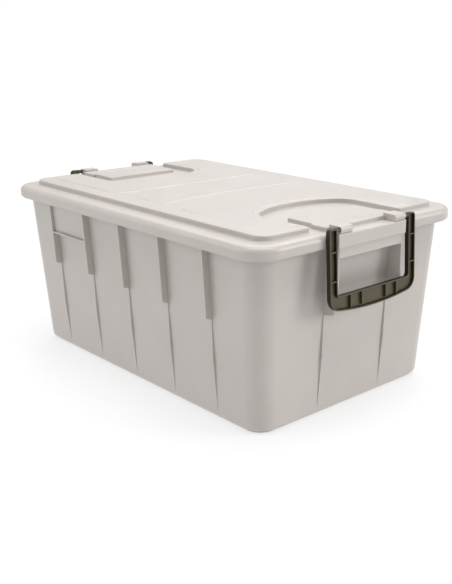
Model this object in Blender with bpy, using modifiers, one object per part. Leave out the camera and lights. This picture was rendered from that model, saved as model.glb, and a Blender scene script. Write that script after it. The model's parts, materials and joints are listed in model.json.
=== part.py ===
"""Stacking storage crate: tub, lift-off lid and two swing handles.

Units are metres and +Z is up. The origin is the middle of the crate's underside, X runs along its length
and Y across its width. Each real moulding is one object: the crate body, the lid and the two handles.
"""

import math

import bmesh
import bpy

# Crate body
RIM_LENGTH = 0.600
RIM_WIDTH = 0.400
RIM_CORNER = 0.042
BODY_HEIGHT = 0.2594
BODY_WALL = 0.0024
RIM_LIP_DEPTH = 0.0164
RIM_FOLD = 0.0036
WALL_INSET = 0.0147
WALL_DRAFT = 0.055
WALL_CORNER = 0.031
BASE_ROUND = 0.007
FOOT_INSET = 0.0359
FOOT_HEIGHT = 0.003
FOOT_CORNER = 0.024

# Thin ribs on the long walls
RIBS_EACH_SIDE = 5
RIB_PITCH = 0.0945
RIB_THICKNESS = 0.0026
RIB_DEPTH = 0.0103
RIB_LENGTH = 0.110
RIB_FOOT_SLOPE = 0.0035
RIB_TAIL_START = 0.0015
RIB_TAIL_DEPTH = 0.0032
RIB_TAIL_MIDDLE = 0.088
RIB_TAIL_TIP = 0.0003
RIB_TAIL_END = 0.012

# Label plate between two ribs of one long wall
LABEL_FIRST_RIB = -2
LABEL_PLATE_FRONT = 0.0056
LABEL_PLATE_THICKNESS = 0.0020
LABEL_HEIGHT = 0.0614
LABEL_LEDGE_SETBACK = 0.0004
LABEL_LIP_HEIGHT = 0.0025
LABEL_BAR_WIDTH = 0.0070
LABEL_BAR_FRONT = 0.0078

# Hand-pull under the rim of each short end
PULL_HALF_WIDTH = 0.0643
PULL_REACH = 0.0045
PULL_DEPTH = 0.0304
PULL_WALL = 0.0024
WEB_SETBACK = 0.0004
WEB_LENGTH = 0.0806
WEB_TAB_REACH = 0.0007
WEB_TAB_LENGTH = 0.108

# Lid
LID_WALL = 0.0023
SEAT_GAP = 0.0003
LIP_GAP = 0.0005
SKIRT_DEPTH = 0.0170
PULL_SKIRT_DEPTH = 0.0190
PULL_STEP = 0.0006
PULL_UNDERSIDE_STEP = 0.0001
PULL_ROUND = 0.0020
RIM_ROUND = 0.0080
DECK_RISE = 0.0075
DECK_END_INSET = 0.0235
DECK_SIDE_INSET = 0.0298
DECK_CORNER = 0.020
DECK_ROUND = 0.0015
RECESS_HALF_WIDTH = 0.0885
RECESS_MOUTH_HALF = 0.0872
RECESS_STRAIGHT = 0.084
RECESS_ARCH = 0.045
RECESS_MOUTH_ROUND = 0.005
PAD_RISE = 0.0008
PAD_INNER_EDGE = 0.072
PAD_OUTER_INSET = 0.013
PAD_SIDE_INSET = 0.027
PAD_CORNER = 0.022
PAD_RECESS_MARGIN = 0.009
STRIP_END_INSET = 0.0322
STRIP_HALF_WIDTH = 0.033
STRIP_WAIST = 0.009
PLATE_RISE = 0.0060
PLATE_LENGTH = 0.0775
SHOULDER_LENGTH = 0.0305
PLATE_FRONT_INSET = 0.0115
PLATE_HALF_WIDTH = 0.0655
PLATE_GAP = 0.0010

# Knuckles and handles
HANDLE_INNER_HALF = 0.0710
HANDLE_ARM_WIDTH = 0.0140
HANDLE_THICKNESS = 0.0070
HANDLE_DROP = 0.110
HANDLE_BAR_TOP = 0.085
HANDLE_CORNER = 0.018
HANDLE_INNER_CORNER = 0.005
HANDLE_BOW = 0.0053
HANDLE_FLANGE = 0.0020
HANDLE_FLOOR = 0.0025
HANDLE_RIB = 0.0016
ARM_RIBS = (0.027, 0.065)
BAR_RIBS = (0.024, 0.046)
HANDLE_GAP = 0.0005
FOLD_GAP = 0.0015
REST_GAP = 0.0004
PEG_RADIUS = 0.0029
PEG_CLEARANCE = 0.0003
PEG_LENGTH = 0.0140
KNUCKLE_RADIUS = 0.0044
KNUCKLE_INNER = 0.0420
KNUCKLE_OUTER = 0.0643
BORE_FLOOR = 0.0010

CORNER_STEPS = 6
SHARP_ANGLE = 35.0
OVERLAP = 0.001
REACH_THROUGH = 0.010
# Staggered, so that the undersides of two forms never lie in one plane
DECK_ROOT = 0.0034
PLATE_ROOT = 0.0015

# Sizes that follow from the ones above
LIP_INSET = LID_WALL + LIP_GAP
LIP_BOTTOM = BODY_HEIGHT - RIM_LIP_DEPTH
FLANGE_MIDDLE = BODY_HEIGHT - BODY_WALL / 2
LABEL_BOTTOM = BODY_HEIGHT - LABEL_HEIGHT
LID_UNDERSIDE = BODY_HEIGHT + SEAT_GAP
LID_RIM_TOP = LID_UNDERSIDE + LID_WALL
DECK_TOP = LID_RIM_TOP + DECK_RISE
PLATE_TOP = LID_RIM_TOP + PLATE_RISE
STRIP_HALF_LENGTH = RIM_WIDTH / 2 - DECK_SIDE_INSET - STRIP_END_INSET
PULL_FRONT = RIM_LENGTH / 2 + PULL_REACH
PULL_SKIRT_FRONT = PULL_FRONT + LIP_GAP + LID_WALL
PULL_SKIRT_HALF = PULL_HALF_WIDTH + LIP_GAP + LID_WALL
PIVOT_X = RIM_LENGTH / 2 + HANDLE_GAP + HANDLE_THICKNESS / 2
PIVOT_Z = LID_RIM_TOP + FOLD_GAP + HANDLE_THICKNESS / 2
HANDLE_LEAN = math.asin((PULL_FRONT + REST_GAP + HANDLE_THICKNESS / 2 - PIVOT_X) / HANDLE_BAR_TOP)

WHITE_PLASTIC = ("white_plastic", (0.80, 0.78, 0.75, 1.0), 0.38)
DARK_PLASTIC = ("dark_plastic", (0.045, 0.042, 0.030, 1.0), 0.42)


# ---------------------------------------------------------------- helpers
def clear_scene():
    """Start from an empty scene without closing the open file."""
    for item in list(bpy.data.objects):
        bpy.data.objects.remove(item, do_unlink=True)


def new_collection(name):
    """Make a collection and link it to the scene."""
    group = bpy.data.collections.new(name)
    bpy.context.scene.collection.children.link(group)
    return group


def new_material(name, colour, roughness):
    """A plain Principled plastic."""
    material = bpy.data.materials.new(name)
    material.use_nodes = True
    shader = material.node_tree.nodes["Principled BSDF"]
    shader.inputs["Base Color"].default_value = colour
    shader.inputs["Roughness"].default_value = roughness
    shader.inputs["Metallic"].default_value = 0.0
    return material


def object_from_bmesh(name, mesh_builder, group):
    """Turn a bmesh into a linked object with its faces pointing out."""
    bmesh.ops.recalc_face_normals(mesh_builder, faces=mesh_builder.faces)
    mesh = bpy.data.meshes.new(name)
    mesh_builder.to_mesh(mesh)
    mesh_builder.free()
    item = bpy.data.objects.new(name, mesh)
    group.objects.link(item)
    return item


def box(name, low, high, group, corner=0.0, steps=CORNER_STEPS):
    """A box between two corners, with its upright edges rounded by corner."""
    builder = bmesh.new()
    bmesh.ops.create_cube(builder, size=1.0)
    for vert in builder.verts:
        vert.co = [low[i] + (vert.co[i] + 0.5) * (high[i] - low[i]) for i in range(3)]
    if corner > 0.0:
        upright = [edge for edge in builder.edges if abs(edge.verts[0].co.z - edge.verts[1].co.z) > 1e-6]
        bmesh.ops.bevel(builder, geom=upright, offset=corner, segments=steps, profile=0.5, affect="EDGES")
    return object_from_bmesh(name, builder, group)


def arc(centre, radii, start, end, steps):
    """Points along an elliptical arc; angles in degrees, counter-clockwise when end is larger."""
    points = []
    for i in range(steps + 1):
        angle = math.radians(start + (end - start) * i / steps)
        points.append((centre[0] + radii[0] * math.cos(angle), centre[1] + radii[1] * math.sin(angle)))
    return points


def rounded_rectangle(half_x, half_y, corner):
    """Counter-clockwise outline of a rectangle with round corners."""
    points = []
    for sign_x, sign_y, start in ((1, -1, -90), (1, 1, 0), (-1, 1, 90), (-1, -1, 180)):
        centre = (sign_x * (half_x - corner), sign_y * (half_y - corner))
        points += arc(centre, (corner, corner), start, start + 90, CORNER_STEPS)
    return points


def slab(name, outline, low, high, plane, group):
    """A flat outline with thickness: a filled and extruded 2D curve, made a mesh.

    plane "XY" spans Z from low to high, "XZ" spans Y and "YZ" spans X.
    """
    curve = bpy.data.curves.new(name, "CURVE")
    curve.dimensions = "2D"
    curve.fill_mode = "BOTH"
    curve.extrude = (high - low) / 2
    spline = curve.splines.new("POLY")
    spline.points.add(len(outline) - 1)
    for point, (across, along) in zip(spline.points, outline):
        point.co = (across, along, 0.0, 1.0)
    spline.use_cyclic_u = True
    drawn = bpy.data.objects.new(name + "_outline", curve)
    group.objects.link(drawn)
    bpy.context.view_layer.update()
    evaluated = drawn.evaluated_get(bpy.context.evaluated_depsgraph_get())
    mesh = bpy.data.meshes.new_from_object(evaluated)
    bpy.data.objects.remove(drawn, do_unlink=True)
    builder = bmesh.new()
    builder.from_mesh(mesh)
    bpy.data.meshes.remove(mesh)
    middle = (low + high) / 2
    for vert in builder.verts:
        across, along, through = vert.co
        if plane == "XY":
            vert.co = (across, along, middle + through)
        elif plane == "XZ":
            vert.co = (across, middle + through, along)
        else:
            vert.co = (middle + through, across, along)
    bmesh.ops.remove_doubles(builder, verts=builder.verts, dist=1e-6)
    return object_from_bmesh(name, builder, group)


def round_edges(item, width, steps, wanted):
    """Bevel the sharp edges for which wanted(first corner, second corner) is true."""
    builder = bmesh.new()
    builder.from_mesh(item.data)
    weights = builder.edges.layers.float.new("bevel_weight_edge")
    for edge in builder.edges:
        sharp = edge.calc_face_angle() > math.radians(SHARP_ANGLE)
        chosen = sharp and wanted(edge.verts[0].co, edge.verts[1].co)
        edge[weights] = 1.0 if chosen else 0.0
    builder.to_mesh(item.data)
    builder.free()
    bevel = item.modifiers.new("round", "BEVEL")
    bevel.limit_method = "WEIGHT"
    bevel.width = width
    bevel.segments = steps


def at_height(height):
    """A test for round_edges: both ends of the edge lie at this height."""
    return lambda first, second: abs(first.z - height) < 1e-5 and abs(second.z - height) < 1e-5


def combine(item, tool, operation):
    """Join or cut item with tool, which becomes a hidden construction solid."""
    tool.hide_render = True
    tool.display_type = "WIRE"
    boolean = item.modifiers.new(tool.name, "BOOLEAN")
    boolean.operation = operation
    boolean.solver = "EXACT"
    boolean.object = tool


def finish(item, material):
    """Give a part its material and smooth shading with sharp edges kept."""
    item.data.materials.clear()
    item.data.materials.append(material)
    item.data.shade_smooth()
    item.data.set_sharp_from_angle(angle=math.radians(SHARP_ANGLE))


# ---------------------------------------------------------------- crate body
def wall_inset(height):
    """How far the outer face of the tapered wall lies inside the rim."""
    return WALL_INSET + (BODY_HEIGHT - height) * WALL_DRAFT


def body_rings():
    """Inset, corner radius and height of each ring of the shell's outer face, from the foot up."""
    foot_wall = WALL_DRAFT * FOOT_HEIGHT
    rings = [(FOOT_INSET, FOOT_CORNER, 0.0), (FOOT_INSET - foot_wall, FOOT_CORNER, FOOT_HEIGHT)]
    round_top = FOOT_HEIGHT + BASE_ROUND
    for inset, height in arc((wall_inset(round_top) + BASE_ROUND, round_top),
                             (-BASE_ROUND, BASE_ROUND), -90, 0, 4):
        rings.append((inset, WALL_CORNER, height))
    under_flange = BODY_HEIGHT - BODY_WALL
    rings.append((wall_inset(under_flange), WALL_CORNER, under_flange))
    lip = LIP_INSET + BODY_WALL
    fold_centre = (lip + RIM_FOLD, under_flange - RIM_FOLD)
    for inset, height in arc(fold_centre, (RIM_FOLD, RIM_FOLD), 90, 180, 2):
        rings.append((inset, RIM_CORNER - inset, height))
    rings.append((lip, RIM_CORNER - lip, LIP_BOTTOM))
    return rings


def body_shell(group):
    """Lofted outer face of the tub, open at the top, made a shell by Solidify."""
    builder = bmesh.new()
    loops = []
    for inset, corner, height in body_rings():
        outline = rounded_rectangle(RIM_LENGTH / 2 - inset, RIM_WIDTH / 2 - inset, corner)
        loops.append([builder.verts.new((x, y, height)) for x, y in outline])
    count = len(loops[0])
    builder.faces.new(list(reversed(loops[0])))
    for lower, upper in zip(loops, loops[1:]):
        for i in range(count):
            j = (i + 1) % count
            builder.faces.new((lower[i], lower[j], upper[j], upper[i]))
    mesh = bpy.data.meshes.new("crate_body")
    builder.to_mesh(mesh)
    builder.free()
    shell = bpy.data.objects.new("crate_body", mesh)
    group.objects.link(shell)
    solidify = shell.modifiers.new("wall", "SOLIDIFY")
    solidify.thickness = BODY_WALL
    solidify.offset = -1.0
    solidify.use_even_offset = True
    return shell


def rib_profile(half):
    """Side view of one rib: deep under the rim, then a shallow tail down to the foot."""
    def wall(height):
        return half - wall_inset(height)

    middle = -BODY_WALL / 2
    rib_bottom = BODY_HEIGHT - RIB_LENGTH
    tail_top = rib_bottom - RIB_FOOT_SLOPE
    return [
        (wall(FLANGE_MIDDLE) + middle, FLANGE_MIDDLE),
        (wall(RIB_TAIL_END) + middle, RIB_TAIL_END),
        (wall(RIB_TAIL_END) + RIB_TAIL_TIP, RIB_TAIL_END),
        (wall(RIB_TAIL_MIDDLE) + RIB_TAIL_DEPTH, RIB_TAIL_MIDDLE),
        (wall(tail_top) + RIB_TAIL_START, tail_top),
        (wall(rib_bottom) + RIB_DEPTH, rib_bottom),
        (wall(FLANGE_MIDDLE) + RIB_DEPTH, FLANGE_MIDDLE),
    ]


def web_profile():
    """Side view of a hand-pull web: deep to the hook, a shorter tab, then the shallow tail."""
    half = RIM_LENGTH / 2
    front = PULL_FRONT - WEB_SETBACK
    hook = BODY_HEIGHT - WEB_LENGTH
    tab_bottom = BODY_HEIGHT - WEB_TAB_LENGTH
    tail_top = tab_bottom - RIB_FOOT_SLOPE
    tab = half - WEB_TAB_REACH

    def wall(height):
        return half - wall_inset(height)

    middle = -BODY_WALL / 2
    return [
        (wall(FLANGE_MIDDLE) + middle, FLANGE_MIDDLE),
        (wall(RIB_TAIL_END) + middle, RIB_TAIL_END),
        (wall(RIB_TAIL_END) + RIB_TAIL_TIP, RIB_TAIL_END),
        (wall(RIB_TAIL_MIDDLE) + RIB_TAIL_DEPTH, RIB_TAIL_MIDDLE),
        (wall(tail_top) + RIB_TAIL_START, tail_top),
        (tab - (hook - tab_bottom) * WALL_DRAFT, tab_bottom),
        (tab, hook),
        (front, hook),
        (front, FLANGE_MIDDLE),
    ]


def mirror_outline(outline):
    """The same outline on the other side of the vertical axis."""
    return [(-across, along) for across, along in reversed(outline)]


def add_ribs(body, tools):
    """Five thin ribs down each long wall."""
    profile = rib_profile(RIM_WIDTH / 2)
    for side in (-1, 1):
        outline = profile if side > 0 else mirror_outline(profile)
        for i in range(RIBS_EACH_SIDE):
            x = (i - (RIBS_EACH_SIDE - 1) / 2) * RIB_PITCH
            name = f"rib_{'left' if side < 0 else 'right'}_{i + 1}"
            rib = slab(name, outline, x - RIB_THICKNESS / 2, x + RIB_THICKNESS / 2, "YZ", tools)
            combine(body, rib, "UNION")


def add_hand_pull(body, tools, end):
    """Two webs with a bent plate between them, a grip for the fingers at one short end."""
    half = RIM_LENGTH / 2
    web_outline = web_profile()
    top = BODY_HEIGHT
    plate_outline = [
        (half - LIP_INSET - BODY_WALL / 2, top),
        (half - LIP_INSET - BODY_WALL / 2, top - PULL_WALL),
        (PULL_FRONT - PULL_WALL, top - PULL_WALL),
        (PULL_FRONT - PULL_WALL, top - PULL_DEPTH),
        (PULL_FRONT, top - PULL_DEPTH),
        (PULL_FRONT, top),
    ]
    if end < 0:
        web_outline = mirror_outline(web_outline)
        plate_outline = mirror_outline(plate_outline)
    tag = "far" if end < 0 else "near"
    for side in (-1, 1):
        edges = sorted((side * PULL_HALF_WIDTH, side * (PULL_HALF_WIDTH - RIB_THICKNESS)))
        web = slab(f"web_{tag}_{'left' if side < 0 else 'right'}", web_outline, *edges, "XZ", tools)
        combine(body, web, "UNION")
    inside = PULL_HALF_WIDTH - RIB_THICKNESS / 2
    plate = slab(f"pull_{tag}", plate_outline, -inside, inside, "XZ", tools)
    combine(body, plate, "UNION")


def add_label_plate(body, tools):
    """A flat label plate between two ribs, with a ledge under it and a thicker bar at one edge."""
    half = RIM_WIDTH / 2
    first = LABEL_FIRST_RIB * RIB_PITCH
    last = first + RIB_PITCH

    def strip(back, front, low, high):
        corners = [(-(half - wall_inset(low) + back), low), (-(half - wall_inset(high) + back), high),
                   (-(half - wall_inset(high) + front), high), (-(half - wall_inset(low) + front), low)]
        return corners

    bottom = LABEL_BOTTOM + OVERLAP
    plate_back = LABEL_PLATE_FRONT - LABEL_PLATE_THICKNESS
    plate = slab("label_plate", strip(plate_back, LABEL_PLATE_FRONT, bottom, FLANGE_MIDDLE),
                 first, last, "YZ", tools)
    combine(body, plate, "UNION")
    ledge_back = LABEL_PLATE_FRONT - LABEL_PLATE_THICKNESS / 2
    ledge_front = RIB_DEPTH - LABEL_LEDGE_SETBACK
    ledge_top = LABEL_BOTTOM + LABEL_LIP_HEIGHT
    ledge = slab("label_ledge", strip(ledge_back, ledge_front, LABEL_BOTTOM, ledge_top),
                 first, last, "YZ", tools)
    combine(body, ledge, "UNION")
    bar = slab("label_bar", strip(ledge_back, LABEL_BAR_FRONT, bottom, LIP_BOTTOM + OVERLAP),
               last - LABEL_BAR_WIDTH, last, "YZ", tools)
    combine(body, bar, "UNION")


def build_body(parts, tools, material):
    """The tub with everything moulded on it."""
    body = body_shell(parts)
    add_ribs(body, tools)
    add_hand_pull(body, tools, 1)
    add_hand_pull(body, tools, -1)
    add_label_plate(body, tools)
    finish(body, material)
    return body


# ---------------------------------------------------------------- lid
def recess_path(mouth_x, inset):
    """Edge of the D-shaped recess at the +X end, from its +Y mouth corner round to the -Y one."""
    half = RECESS_HALF_WIDTH + inset
    mouth_half = RECESS_MOUTH_HALF + inset
    straight_end = RIM_LENGTH / 2 - DECK_END_INSET - RECESS_STRAIGHT
    mouth = RECESS_MOUTH_ROUND
    upper_corner = arc((mouth_x - mouth, mouth_half + mouth), (mouth, mouth), 0, -90, 3)
    arch = arc((straight_end, 0.0), (RECESS_ARCH + inset, half), 90, 270, 4 * CORNER_STEPS)
    lower_corner = arc((mouth_x - mouth, -mouth_half - mouth), (mouth, mouth), 90, 0, 3)
    return upper_corner + arch + lower_corner


def deck_outline(inset):
    """The raised deck: a round-cornered rectangle with a D-shaped recess at each short end."""
    half_x = RIM_LENGTH / 2 - DECK_END_INSET - inset
    half_y = RIM_WIDTH / 2 - DECK_SIDE_INSET - inset
    corner = DECK_CORNER - inset
    right = arc((half_x - corner, half_y - corner), (corner, corner), 90, 0, CORNER_STEPS)
    right += recess_path(half_x, inset)
    right += arc((half_x - corner, -half_y + corner), (corner, corner), 0, -90, CORNER_STEPS)
    left = [(-x, -y) for x, y in right]
    return right + left


def pad_outline():
    """The faintly raised field between the middle of the deck and the recess."""
    inner = PAD_INNER_EDGE
    outer = RIM_LENGTH / 2 - DECK_END_INSET - PAD_OUTER_INSET
    half_y = RIM_WIDTH / 2 - DECK_SIDE_INSET - PAD_SIDE_INSET
    corner = PAD_CORNER
    points = arc((inner + corner, half_y - corner), (corner, corner), 180, 90, CORNER_STEPS)
    points.append((outer, half_y))
    points += recess_path(outer, PAD_RECESS_MARGIN)
    points.append((outer, -half_y))
    points += arc((inner + corner, -half_y + corner), (corner, corner), 270, 180, CORNER_STEPS)
    return points


def strip_outline():
    """The faintly raised strip across the middle of the deck, narrower at its waist."""
    points = []
    steps = 2 * CORNER_STEPS
    for side in (1, -1):
        for i in range(steps + 1):
            along = side * STRIP_HALF_LENGTH * (1 - 2 * i / steps)
            across = STRIP_HALF_WIDTH - STRIP_WAIST * math.cos(math.pi / 2 * along / STRIP_HALF_LENGTH)
            points.append((side * across, along))
    return points


def plate_outline(inset):
    """The raised end plate inside the handle, with shoulders that carry the knuckles."""
    front = RIM_LENGTH / 2 - PLATE_FRONT_INSET - inset
    shoulder = RIM_LENGTH / 2 - PLATE_FRONT_INSET - SHOULDER_LENGTH + inset
    inner = RIM_LENGTH / 2 - PLATE_FRONT_INSET - PLATE_LENGTH + inset
    narrow = PLATE_HALF_WIDTH - inset
    wide = HANDLE_INNER_HALF - PLATE_GAP - inset
    return [(inner, -narrow), (shoulder, -narrow), (shoulder, -wide), (front, -wide),
            (front, wide), (shoulder, wide), (shoulder, narrow), (inner, narrow)]


def turned(outline):
    """An outline turned half a turn about the middle."""
    return [(-x, -y) for x, y in outline]


def lid_form(name, inset, drop, skirt_bottom, group):
    """The lid's outer form, or with inset and drop the space inside it."""
    half_x = RIM_LENGTH / 2 - inset
    half_y = RIM_WIDTH / 2 - inset
    outer = inset == 0.0
    rim_top = LID_RIM_TOP - drop
    form = box(name, (-half_x, -half_y, skirt_bottom), (half_x, half_y, rim_top), group,
               corner=RIM_CORNER - inset)
    round_edges(form, max(RIM_ROUND - inset, OVERLAP), 3, at_height(rim_top))
    deck = slab(name + "_deck", deck_outline(inset), rim_top - DECK_ROOT, DECK_TOP - drop, "XY", group)
    if outer:
        round_edges(deck, DECK_ROUND, 2, at_height(DECK_TOP))
    combine(form, deck, "UNION")
    for end, tag in ((1, "near"), (-1, "far")):
        outline = plate_outline(inset)
        if end < 0:
            outline = turned(outline)
        plate = slab(f"{name}_plate_{tag}", outline, rim_top - PLATE_ROOT, PLATE_TOP - drop, "XY", group)
        combine(form, plate, "UNION")
        combine(form, pull_cover(f"{name}_pull_{tag}", end, inset, rim_top, skirt_bottom, group), "UNION")
    return form


def pull_cover(name, end, inset, rim_top, skirt_bottom, group):
    """The block in front of the skirt that covers the hand-pull, or the space inside it."""
    outer = inset == 0.0
    half_y = PULL_SKIRT_HALF - inset
    back = end * (RIM_LENGTH / 2 - inset - RIM_ROUND - OVERLAP)
    front = end * (PULL_SKIRT_FRONT - inset)
    bottom = LID_RIM_TOP - PULL_SKIRT_DEPTH if outer else skirt_bottom + OVERLAP
    top = rim_top - (PULL_STEP if outer else PULL_UNDERSIDE_STEP)
    block = box(name, (min(back, front), -half_y, bottom), (max(back, front), half_y, top), group)

    def round_here(first, second):
        in_front = abs(first.x - front) < 1e-5 and abs(second.x - front) < 1e-5
        at_bottom = max(first.z, second.z) < bottom + 1e-5
        return in_front and not at_bottom

    if outer:
        round_edges(block, PULL_ROUND, 2, round_here)
    return block


def knuckle_profile():
    """Side view of a knuckle: a block on the lid that ends round the handle's pivot."""
    back = RIM_LENGTH / 2 - PLATE_FRONT_INSET - OVERLAP * 2
    root = LID_RIM_TOP - OVERLAP
    nose = arc((PIVOT_X, PIVOT_Z), (KNUCKLE_RADIUS, KNUCKLE_RADIUS), -50, 90, CORNER_STEPS)
    return [(back, root), (PIVOT_X + OVERLAP, root)] + nose + [(back, PIVOT_Z + KNUCKLE_RADIUS)]


def add_pads(lid, tools):
    """The faint raised fields of the deck."""
    root = DECK_TOP - LID_WALL / 2
    top = DECK_TOP + PAD_RISE
    combine(lid, slab("pad_near", pad_outline(), root, top, "XY", tools), "UNION")
    combine(lid, slab("pad_far", turned(pad_outline()), root, top, "XY", tools), "UNION")
    combine(lid, slab("pad_middle", strip_outline(), root, top, "XY", tools), "UNION")


def add_knuckles(lid, tools):
    """Two knuckles at each end, each with a blind bore for a handle's peg."""
    for end in (1, -1):
        outline = knuckle_profile() if end > 0 else mirror_outline(knuckle_profile())
        for side in (1, -1):
            tag = f"{'near' if end > 0 else 'far'}_{'right' if side > 0 else 'left'}"
            edges = sorted((side * KNUCKLE_INNER, side * KNUCKLE_OUTER))
            combine(lid, slab("knuckle_" + tag, outline, *edges, "XZ", tools), "UNION")
            bottom = HANDLE_INNER_HALF - PEG_LENGTH - BORE_FLOOR
            bore = cylinder_along_y("bore_" + tag, PEG_RADIUS + PEG_CLEARANCE,
                                    side * bottom, side * (KNUCKLE_OUTER + REACH_THROUGH), tools)
            bore.location = (end * PIVOT_X, 0.0, PIVOT_Z)
            combine(lid, bore, "DIFFERENCE")


def cylinder_along_y(name, radius, start, end, group):
    """A closed cylinder round the object's own Y axis, between two distances along it."""
    builder = bmesh.new()
    bmesh.ops.create_cone(builder, cap_ends=True, segments=20, radius1=radius, radius2=radius,
                          depth=abs(end - start))
    for vert in builder.verts:
        vert.co = (vert.co.x, (start + end) / 2 + vert.co.z, vert.co.y)
    return object_from_bmesh(name, builder, group)


def build_lid(parts, tools, material):
    """The lid: outer form less the space inside, then what stands on it."""
    lid = lid_form("lid", 0.0, 0.0, LID_RIM_TOP - SKIRT_DEPTH, parts)
    for tool in [m.object for m in lid.modifiers if m.type == "BOOLEAN"]:
        parts.objects.unlink(tool)
        tools.objects.link(tool)
    hollow_bottom = LID_RIM_TOP - PULL_SKIRT_DEPTH - REACH_THROUGH
    hollow = lid_form("lid_hollow", LID_WALL, LID_WALL, hollow_bottom, tools)
    combine(lid, hollow, "DIFFERENCE")
    add_pads(lid, tools)
    add_knuckles(lid, tools)
    finish(lid, material)
    return lid


# ---------------------------------------------------------------- handles
def handle_outline(inset):
    """Front view of the handle, pivot at the origin: two arms and a bar with a bowed lower edge."""
    outer = HANDLE_INNER_HALF + HANDLE_ARM_WIDTH - inset
    inner = HANDLE_INNER_HALF + inset
    corner = HANDLE_CORNER - inset
    top = HANDLE_THICKNESS / 2 - inset
    bar_top = -HANDLE_BAR_TOP - inset
    end_slope = 80
    corner_x = outer - corner
    corner_z = -(HANDLE_DROP - HANDLE_BOW - inset - corner * math.sin(math.radians(end_slope)))
    right = [(inner, top), (outer, top)]
    right += arc((corner_x, corner_z), (corner, corner), 0, -end_slope, CORNER_STEPS)
    half_chord, chord_z = right[-1]
    bow = HANDLE_BOW
    bow_radius = (half_chord ** 2 + bow ** 2) / (2 * bow)
    bow_angle = math.degrees(math.asin(half_chord / bow_radius))
    bow_centre = (0.0, chord_z - bow + bow_radius)
    bottom = arc(bow_centre, (bow_radius, bow_radius), -90 + bow_angle, -90 - bow_angle, 2 * CORNER_STEPS)
    left = [(-x, z) for x, z in reversed(right)]
    fillet = HANDLE_INNER_CORNER
    inside = arc((-inner + fillet, bar_top + fillet), (fillet, fillet), 180, 270, 3)
    inside += [(-x, z) for x, z in reversed(inside)]
    return right[:-1] + bottom + left[1:] + inside


def handle_mesh(tools):
    """One handle: an outward-facing channel with cross ribs and two pegs, pivot at the origin."""
    half = HANDLE_THICKNESS / 2
    handle = slab("handle_shape", handle_outline(0.0), -half, half, "YZ", tools)
    channel_floor = -half + HANDLE_FLOOR
    channel = slab("handle_channel", handle_outline(HANDLE_FLANGE), channel_floor, half + REACH_THROUGH,
                   "YZ", tools)
    combine(handle, channel, "DIFFERENCE")
    back = channel_floor - HANDLE_FLOOR / 2
    front = half - HANDLE_RIB / 4
    flange = HANDLE_FLANGE / 2
    rib = HANDLE_RIB / 2
    for side in (-1, 1):
        inner, outer = sorted((side * (HANDLE_INNER_HALF + flange),
                               side * (HANDLE_INNER_HALF + HANDLE_ARM_WIDTH - flange)))
        for i, depth in enumerate(ARM_RIBS):
            low = (back, inner, -depth - rib)
            high = (front, outer, -depth + rib)
            combine(handle, box(f"arm_rib_{side}_{i}", low, high, tools), "UNION")
        for i, across in enumerate(BAR_RIBS):
            low = (back, side * across - rib, -HANDLE_DROP + HANDLE_BOW)
            high = (front, side * across + rib, -HANDLE_BAR_TOP - flange)
            combine(handle, box(f"bar_rib_{side}_{i}", low, high, tools), "UNION")
        peg = cylinder_along_y(f"peg_{side}", PEG_RADIUS, side * (HANDLE_INNER_HALF + flange),
                               side * (HANDLE_INNER_HALF - PEG_LENGTH), tools)
        combine(handle, peg, "UNION")
    bpy.context.view_layer.update()
    evaluated = handle.evaluated_get(bpy.context.evaluated_depsgraph_get())
    mesh = bpy.data.meshes.new_from_object(evaluated)
    for tool in [m.object for m in handle.modifiers]:
        bpy.data.objects.remove(tool, do_unlink=True)
    bpy.data.objects.remove(handle, do_unlink=True)
    mesh.name = "handle"
    return mesh


def build_handles(parts, tools, material):
    """The same handle at both ends, hanging on its pivot and leaning on the hand-pull."""
    mesh = handle_mesh(tools)
    handles = []
    for name, end, turn in (("handle_right", 1, 0.0), ("handle_left", -1, math.pi)):
        handle = bpy.data.objects.new(name, mesh)
        handle.rotation_euler = (0.0, -HANDLE_LEAN, turn)
        handle.location = (end * PIVOT_X, 0.0, PIVOT_Z)
        parts.objects.link(handle)
        handles.append(handle)
    finish(handles[0], material)
    return handles


def main():
    clear_scene()
    parts = new_collection("stacking_crate")
    tools = new_collection("construction")
    white = new_material(*WHITE_PLASTIC)
    dark = new_material(*DARK_PLASTIC)
    build_body(parts, tools, white)
    build_lid(parts, tools, white)
    build_handles(parts, tools, dark)


main()
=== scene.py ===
# %% [markdown]
# # A stacking crate with a lift-off lid
#
# The crate is four injection mouldings: a white tub, a white lid and two dark handles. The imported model
# gives their places and how they move. This notebook gives them their looks: finer meshes with the soft
# edges that a mould leaves, plastics with a moulded grain, a white light table and soft light. All lengths
# are in metres, +Z is up, and the crate stands on z = 0 with its length along X.

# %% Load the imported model
import json
import math

import bmesh
import bpy
from mathutils import Matrix, Vector


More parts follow.
